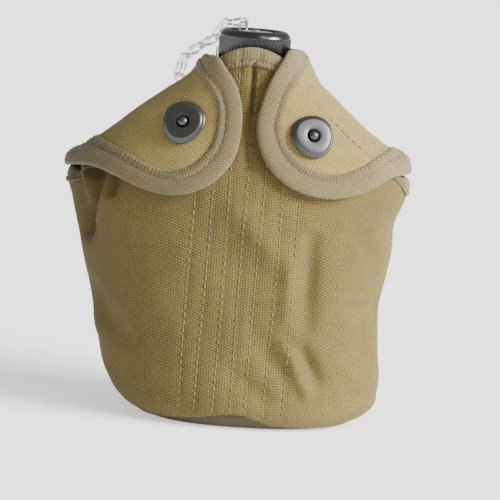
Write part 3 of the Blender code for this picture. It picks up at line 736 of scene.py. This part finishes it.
def make_mouth_tape(look):
    """Folded tape over the front's mouth: over the edge, down the outside to a ribbed lip."""
    angle = np.linspace(180.3, 360.0, 520)
    groove = -6.7
    # Height from the wall's top edge and distance out from the wall, in millimetres.
    profile = [(-8.0, -3.4), (-3.0, -3.5), (-0.6, -3.0), (0.2, -1.8), (0.25, -0.4), (-0.5, 0.7),
               (-2.5, 1.0), (-5.4, 0.9), (-6.3, 0.35), (groove, 0.15), (-7.0, 0.4), (-7.3, 1.0),
               (-8.4, 1.25), (-9.2, 0.9), (-9.4, 0.2)]
    top = front_top(angle)
    across = section(angle, top)[:, 0]
    rows = []
    for down, out in profile[::-1]:
        phase = across * 2 * math.pi / (1.85 * MM) + 1.2 * np.sin(across * 260)
        rib = (0.16 if down < groove else 0.09) * MM * np.sin(phase)
        rows.append(wall(angle, top + down * MM, out * MM + rib))
    grid("mouth_tape", np.array(rows), look["tape"], "cover", thickness=0.6 * MM,
         replaces=("front_binding",))
    line = np.linspace(181.3, 358.8, 260)
    height = front_top(line) + groove * MM
    points = wall(line, height, 0.25 * MM)
    normals = unit(wall(line, height, 1 * MM) - points)
    stitches("mouth_stitches", [(points, normals)], look["thread"], "cover")


def make_seams(look):
    """The rows of stitching that quilt the front to its lining."""
    runs = []
    for x in SEAM_ROWS:
        z = np.linspace(ROW_FOOT, ROW_TOPS[int(abs(x) < ROW_MIDDLE)], 200)
        drift = row_at(x, z)
        points = front_point(drift, z, 0.1 * MM)
        runs.append((points, unit(front_point(drift, z, 1 * MM) - points)))
    stitches("front_stitches", runs, look["thread"], "cover")


# ---------------------------------------------------------------- flaps


def make_flap(side, look):
    """One sheet: down the back, over the shoulder's ridge, and down the front to the free edge."""
    body = f"{side}_flap_panel"
    count = 120
    ridge = even_line(RIDGES[side][:-1], count)
    # The free edge between the places level with the ridge's two ends.
    edge = even_line(EDGES[side], 1200)
    first, last = (np.abs(edge[:, 0] - x).argmin() for x in RIDGES[side][[0, -2], 0])
    line = even_line(edge[first:last + 1:8], count)
    near, far = fold_line(side)
    s = np.linspace(0, 1, count)[:, None]
    fold = near + (far - near) * s
    top = over_flap(side, ridge)
    rows = []
    # A quarter turn from the back edge up to the ridge, then the front down to the free edge.
    for w in np.linspace(0, 1, 16)[:-1]:
        turn = (1 - w) * math.pi / 2
        row = top + (fold - top) * (1 - math.cos(turn))
        row[:, 1] = top[:, 1] + (fold[:, 1] - top[:, 1]) * math.sin(turn)
        rows.append(row)
    for w in np.linspace(0, 1, 64):
        plan = ridge + (line - ridge) * w**1.7
        face = over_flap(side, plan)
        face[:, 1] -= slack(plan[:, 0], plan[:, 1], 1.3) * min(w * 3, 1)
        rows.append(face)
    points = np.array(rows)
    flip = side == "right"
    # The flaps use the lighter canvas, whose extra brightness is painted light.
    flap = grid(f"{side}_flap_canvas", points[:, ::-1] if flip else points, look["canvas_flap_painted_light"], None,
                thickness=FLAP_THICK, replaces=(f"{side}_flap", f"{side}_shoulder"))
    tape = make_flap_tape(side, look)
    seam = make_flap_stitches(side, look)
    near, far = HINGES[side]
    middle = (near + far) / 2
    down = np.array([near[1] - far[1], far[0] - near[0]])
    down = -down if down[1] > 0 else down
    down /= np.hypot(*down)
    hinge = flap_front(side, *middle)
    for piece in (flap, tape, seam):
        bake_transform(piece)
    make_snap(side, look, body)


# The tape round a flap's edge, in millimetres: distance from the free edge, height over the flap,
# and share of the puckering. It starts under the flap and ends past its groove of stitches.
TAPE_PROFILE = np.array([
    [5.0, -2.3, 0.0], [0.8, -2.4, 0.0], [-0.5, -1.4, 0.0], [-0.8, -0.5, 0.1], [-0.4, 0.6, 0.2],
    [0.8, 1.15, 0.3], [3.0, 1.3, 0.5], [5.4, 1.25, 0.5], [7.2, 0.95, 0.7], [7.9, 0.5, 0.8],
    [8.3, 0.3, 0.6], [8.8, 0.65, 1.0], [9.5, 1.05, 1.6], [10.8, 1.1, 1.9], [11.9, 0.8, 1.8],
    [12.4, 0.1, 1.0],
])


def make_flap_tape(side, look):
    """Tape folded over the free edge from tip to neck, slightly gathered."""
    line = even_line(EDGES[side], 460)
    inward = normals_along(line, side)
    run = run_along(line)
    pucker = 0.13 * MM * np.sin(run * 2 * math.pi / (1.9 * MM) + 1.5 * np.sin(run * 300))
    wide = 1 + 0.05 * np.sin(run * 90 + 1)
    rows = []
    for distance, height, share in TAPE_PROFILE:
        plan = line + inward * (distance * MM * wide)[:, None]
        rows.append(on_flap(side, plan, height * MM + share * pucker)[0])
    points = np.array(rows)
    across = run_along(TAPE_PROFILE[:, :2]) * MM
    uv = np.stack(np.broadcast_arrays(run[None, :], across[:, None]), axis=-1)
    flip = side == "left"
    return grid(f"{side}_flap_tape", points[:, ::-1] if flip else points, look["tape"], None,
                thickness=0.55 * MM, uv=uv[:, ::-1] if flip else uv,
                replaces=(f"{side}_flap_binding",))


def make_flap_stitches(side, look):
    """One row along the tape's groove, and one under the ridge."""
    line = even_line(EDGES[side], 400)[24:-30]
    inward = normals_along(line, side)
    runs = [on_flap(side, line + inward * 8.3 * MM, np.full(len(line), 0.4 * MM))]
    ridge = even_line(RIDGES[side][1:-2], 200)[8:-6]
    plan = ridge - normals_along(ridge, side) * 8.0 * MM
    runs.append(on_flap(side, plan, np.full(len(plan), 0.05 * MM)))
    return stitches(f"{side}_flap_stitches", runs, look["thread"], None,
                    radius=0.25 * MM)


def snap_place(side):
    """The flap's face at the snap, with +Z along its normal."""
    x, z = SNAPS[side]
    here, normal = on_flap(side, np.array([[x, z]]), np.zeros(1))
    turn = Vector(normal[0]).to_track_quat("Z", "Y").to_matrix().to_4x4()
    return Matrix.Translation(Vector(here[0])) @ turn


def make_snap(side, look, body):
    """The socket: a rimmed plate with three soft corners, and the stud's tip in its hole."""
    place = snap_place(side)
    # Radius and height over the flap, in millimetres.
    profile = [(0.0, 0.35), (10.4, 0.35), (11.2, 0.6), (11.5, 1.3), (11.3, 2.0), (10.7, 2.4),
               (10.1, 2.5), (9.8, 3.0), (9.3, 3.4), (8.7, 3.55), (4.2, 3.55), (3.6, 3.4),
               (3.2, 3.0), (3.1, 0.9), (0.0, 0.8)]
    turn = np.linspace(0, 2 * math.pi, 96, endpoint=False)
    rings = []
    for radius, height in profile:
        lobes = 1 + 0.03 * min(radius / 9, 1) ** 2 * np.cos(3 * (turn - SNAP_TURN[side]))
        rings.append(ring(radius * lobes, turn, height))
    clean(grid(f"{side}_snap_socket", placed(np.array(rings) * MM, place), look["black"], body,
               closed=True, replaces=(f"{side}_socket",)))
    tip = [(0.0, 5.3), (0.8, 5.2), (1.7, 4.8), (2.4, 4.1), (2.6, 3.4), (2.3, 2.7), (1.9, 2.3),
           (1.9, -4.0), (0.0, -4.0)]
    turned(f"{side}_stud_tip", [(r * MM, z * MM) for r, z in tip], look["black"], "cover",
           place=place, steps=32, replaces=(f"{side}_stud",))


# ---------------------------------------------------------------- cap


def make_cap(look):
    """The ribbed moulding with its round shoulder and sunk top, and the bright disc on it."""
    foot, top = (corner[2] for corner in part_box("cap_shell"))
    turn = np.linspace(0, 2 * math.pi, CAP_RIBS * 6, endpoint=False)
    groove = RIB_DEPTH * (0.5 - 0.5 * np.cos(turn * CAP_RIBS)) ** 0.7
    # Radius in millimetres, height, and share of the ribs' depth.
    profile = [(14.4, foot, 0), (18.2, foot, 0), (18.7, foot + 0.3 * MM, 0.6),
               (18.95, foot + 1.0 * MM, 1), (19.0, top - 4.6 * MM, 1), (18.9, top - 3.9 * MM, 0.7),
               (18.75, top - 3.5 * MM, 0.1), (18.75, top - 3.2 * MM, 0), (18.3, top - 2.2 * MM, 0),
               (17.4, top - 0.9 * MM, 0), (16.7, top - 0.3 * MM, 0), (15.9, top, 0),
               (15.0, top - 0.1 * MM, 0), (14.4, top - 0.6 * MM, 0), (13.9, top - 1.2 * MM, 0),
               (13.2, top - 1.5 * MM, 0), (1.6, top - 1.6 * MM, 0), (1.6, top - 4 * MM, 0),
               (14.4, top - 4 * MM, 0), (14.4, foot, 0)]
    rings = [ring(radius * MM - groove * cut, turn, z) for radius, z, cut in profile]
    clean(grid("cap_moulding", np.array(rings), look["bakelite"], "cap", closed=True,
               replaces=("cap_shell",)))
    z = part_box("cap_top_plate")[1][2]
    disc = [(1.7, z - 0.45 * MM), (1.7, z + 0.3 * MM), (2.8, z + 0.25 * MM), (3.4, z + 0.1 * MM),
            (4.6, z + 0.2 * MM), (8.6, z), (9.1, z - 0.15 * MM), (9.3, z - 0.45 * MM),
            (1.7, z - 0.45 * MM)]
    turned("cap_disc", [(r * MM, h) for r, h in disc], look["tin"], "cap_swivel",
           replaces=("cap_top_plate",))


# ---------------------------------------------------------------- chain and strap


def make_chain(look):
    """Each link at its CAD place. All but the last, which is in the staple, are a little thicker."""
    for k in range(1, LINKS + 1):
        node = f"chain_link_{k:02d}"
        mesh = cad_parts[node].data.copy()
        mesh.name = f"{node}_strip"
        normals = np.zeros(len(mesh.vertices) * 3)
        mesh.vertex_normals.foreach_get("vector", normals)
        places = np.zeros(len(mesh.vertices) * 3)
        mesh.vertices.foreach_get("co", places)
        swell = LINK_SWELL if k < LINKS else 0.0
        mesh.vertices.foreach_set("co", places + normals * swell)
        link = finish_mesh(mesh.name, mesh, look["chain"], "cap_swivel", (node,))
        link.data.shade_smooth()
        smooth_link = link.modifiers.new("smooth", "SUBSURF")
        smooth_link.levels = smooth_link.render_levels = 1


def make_strap(look):
    """Webbing from the back wall up over the hook's bar and down again, sewn through."""
    low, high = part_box("hook_strap")
    y, z = STRAP_BAR
    wall_y = low[1] + 0.5 * MM
    foot = low[2]
    path = [(wall_y, foot), (wall_y, foot + 12 * MM), (wall_y, z - 8 * MM), (wall_y + 0.3 * MM, z)]
    for turn in np.radians(np.linspace(150, -60, 16)):
        path.append((y + STRAP_TURN * math.cos(turn), z + STRAP_TURN * math.sin(turn)))
    path += [(wall_y + 1.15 * MM, z - 10 * MM), (wall_y + 1.15 * MM, z - 16 * MM),
             (wall_y + 1.15 * MM, foot + 0.6 * MM)]
    even = even_line(np.array(path), 150)
    x = np.linspace(low[0], high[0], 25)
    points = np.array([[(across, a, b) for across in x] for a, b in even])
    grid("strap_webbing", points[:, ::-1], look["tape"], "cover", thickness=0.95 * MM,
         replaces=("hook_strap",))
    # A box of stitches with a cross in it.
    runs = []
    face = wall_y + 1.2 * MM
    corners = [(-10, 3), (10, 3), (10, 22), (-10, 22), (-10, 3), (10, 22), (10, 3), (-10, 22)]
    turns = [np.array([a * MM, face, foot + b * MM]) for a, b in corners]
    for a, b in zip(turns, turns[1:]):
        points = a + (b - a) * np.linspace(0, 1, 20)[:, None]
        runs.append((points, np.tile([0.0, 1.0, 0.0], (20, 1))))
    stitches("strap_stitches", runs, look["thread"], "cover")


# ---------------------------------------------------------------- finishes and stage


def paint_nodes(look):
    """The CAD nodes that stay, each with its finish."""
    finishes = {
        "tin": ["cap_eye", "neck_staple"],
        "bottle": ["bottle_lower_shell", "bottle_upper_shell", "threaded_neck"],
        "steel": ["left_stud_rivet", "right_stud_rivet", "left_clinch_plate", "right_clinch_plate",
                  "cap_rivet", "belt_hook"],
        "rubber": ["cap_gasket"],
    }
    for finish, names in finishes.items():
        for name in names:
            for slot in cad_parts[name].material_slots:
                slot.material = look[finish]


def add_lamp(light, path):
    """A lamp that shines along path."""
    lamp = bpy.data.objects.new(light.name, light)
    bpy.context.scene.collection.objects.link(lamp)
    lamp.rotation_euler = path.to_track_quat("-Z", "Y").to_euler()
    return lamp


def make_stage():
    """A pale floor that glows a little, even light from all round, and a soft key light."""
    mesh = bpy.data.meshes.new("floor")
    signs = ((-1, -1), (1, -1), (1, 1), (-1, 1))
    corners = [(x * FLOOR_REACH, y * FLOOR_REACH, 0) for x, y in signs]
    mesh.from_pydata(corners, [], [(0, 1, 2, 3)])
    floor = bpy.data.objects.new("floor", mesh)
    bpy.context.scene.collection.objects.link(floor)
    paint = Paint("floor", roughness=0.9)
    paint.shader.inputs["Base Color"].default_value = (0.9, 0.9, 0.9, 1)
    paint.shader.inputs["Emission Color"].default_value = (1, 1, 1, 1)
    paint.shader.inputs["Emission Strength"].default_value = FLOOR_GLOW
    mesh.materials.append(paint.made)
    world = bpy.data.worlds.new("studio")
    bpy.context.scene.world = world
    world.use_nodes = True
    background = world.node_tree.nodes["Background"]
    background.inputs["Color"].default_value = (1, 1, 1, 1)
    background.inputs["Strength"].default_value = WORLD_STRENGTH
    sun = bpy.data.lights.new("key", "SUN")
    sun.energy = SUN_STRENGTH
    sun.angle = SUN_SPREAD
    add_lamp(sun, SUN_PATH)


def make_softbox():
    """A small bright panel that shows in the cap's and the sockets' gloss."""
    light = bpy.data.lights.new("softbox", "AREA")
    light.shape = "RECTANGLE"
    light.size, light.size_y = SOFTBOX_SIZE
    light.energy = SOFTBOX_POWER
    lamp = add_lamp(light, SOFTBOX_AIM - SOFTBOX_PLACE)
    lamp.location = SOFTBOX_PLACE


def make_camera():
    """In front, looking a little down, and rolled to match the canteen's lean."""
    data = bpy.data.cameras.new("camera")
    data.sensor_width = SENSOR
    data.lens = SENSOR * CAMERA_DISTANCE / VIEW_WIDTH
    camera = bpy.data.objects.new("camera", data)
    bpy.context.scene.collection.objects.link(camera)
    back = Vector((0, -math.cos(CAMERA_RISE), math.sin(CAMERA_RISE)))
    place = CAMERA_AIM + CAMERA_DISTANCE * back
    facing = (CAMERA_AIM - place).to_track_quat("-Z", "Y").to_matrix().to_4x4()
    roll = Matrix.Rotation(CAMERA_ROLL, 4, "Z")
    camera.matrix_world = Matrix.Translation(place) @ facing @ roll
    bpy.context.scene.camera = camera


# ---------------------------------------------------------------- the scene


make_camera()
make_stage()
make_softbox()
look = {
    "canvas": cloth("canvas", (0.100, 0.0735, 0.0205), 1.45 * MM, 0.72 * MM, contrast=0.9,
                    relief=0.5 * MM, sheen=0.06),
    # The flaps' canvas is the body's canvas painted lighter: painted light for the flaps' brighter,
    # upward-facing faces.
    "canvas_flap_painted_light": cloth("canvas_flap_painted_light", (0.186, 0.139, 0.0430), 1.45 * MM, 0.72 * MM,
                         contrast=0.85, relief=0.4 * MM, sheen=0.06),
    "canvas_dark": cloth("canvas_dark", (0.046, 0.035, 0.0115), 0.80 * MM, 0.80 * MM, contrast=0.9,
                         relief=0.4 * MM),
    "tape": cloth("tape", (0.124, 0.099, 0.0415), 0.90 * MM, 0.85 * MM, contrast=0.8,
                  relief=0.6 * MM),
    "thread": hard("thread", (0.215, 0.183, 0.105), (0.28, 0.245, 0.155), 0.95, scale=400.0,
                   specular=0.2),
    "felt": felt("felt", (0.13, 0.115, 0.09)),
    "black": hard("black_enamel", (0.010, 0.0095, 0.009), (0.03, 0.027, 0.023), 0.34, scale=120.0,
                  specular=0.75),
    "bakelite": hard("bakelite", (0.002, 0.002, 0.002), (0.008, 0.007, 0.006), 0.20, scale=60.0,
                     specular=0.75),
    "tin": hard("tin", (0.66, 0.65, 0.63), (0.36, 0.35, 0.33), 0.26, metallic=1.0, scale=300.0),
    "chain": hard("chain", (0.36, 0.35, 0.335), (0.12, 0.115, 0.11), 0.24, metallic=1.0, scale=300.0),
    "bottle": hard("bottle", (0.55, 0.55, 0.54), (0.40, 0.39, 0.37), 0.42, metallic=1.0),
    "steel": hard("steel", (0.30, 0.29, 0.27), (0.20, 0.18, 0.15), 0.45, metallic=1.0),
    "rubber": hard("rubber", (0.03, 0.028, 0.026), (0.06, 0.055, 0.05), 0.85),
}
paint_nodes(look)
make_cover(look)
for side in ("left", "right"):
    make_flap(side, look)
make_cap(look)
make_chain(look)
make_strap(look)
